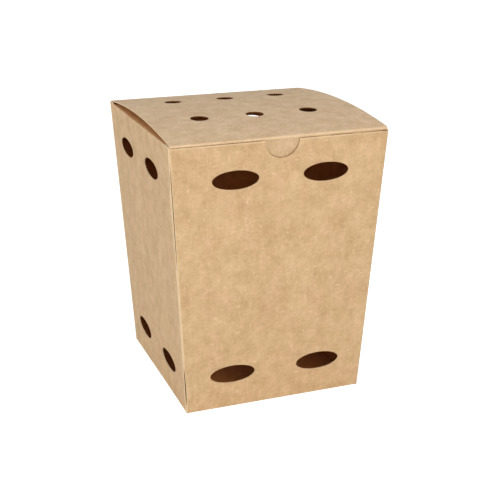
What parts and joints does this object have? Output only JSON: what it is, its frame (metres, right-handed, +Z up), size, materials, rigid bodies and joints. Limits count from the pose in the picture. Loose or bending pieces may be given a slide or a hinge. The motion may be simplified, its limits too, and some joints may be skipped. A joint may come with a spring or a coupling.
{
  "type": "fries box",
  "caption": "Tapered kraft carton with oval air vents in its walls and a domed, hinged lid that tucks in behind the front wall.",
  "frame": {"origin": "middle of the base, on the surface that the box stands on", "axes": "+Z up; -Y is the front, with the thumb notch and the glued seam at its left; +Y is the back, where the lid's crease is; +X to the right"},
  "size_m": [0.1318, 0.1294, 0.1696],
  "materials": {
    "carton_board": "uncoated brown kraft board, matte, with fine fibres",
    "lid_board": "uncoated brown kraft board, matte, with fine fibres"
  },
  "bodies": {
    "carton": {"carton": "carton_board"},
    "lid": {"lid": "lid_board"}
  },
  "joints": [
    {"name": "lid_hinge", "type": "hinge", "parent": "carton", "child": "lid", "pos_m": [0, 0.0644, 0.16465], "axis": [-1, 0, 0], "range_deg": [0, 220]}
  ]
}
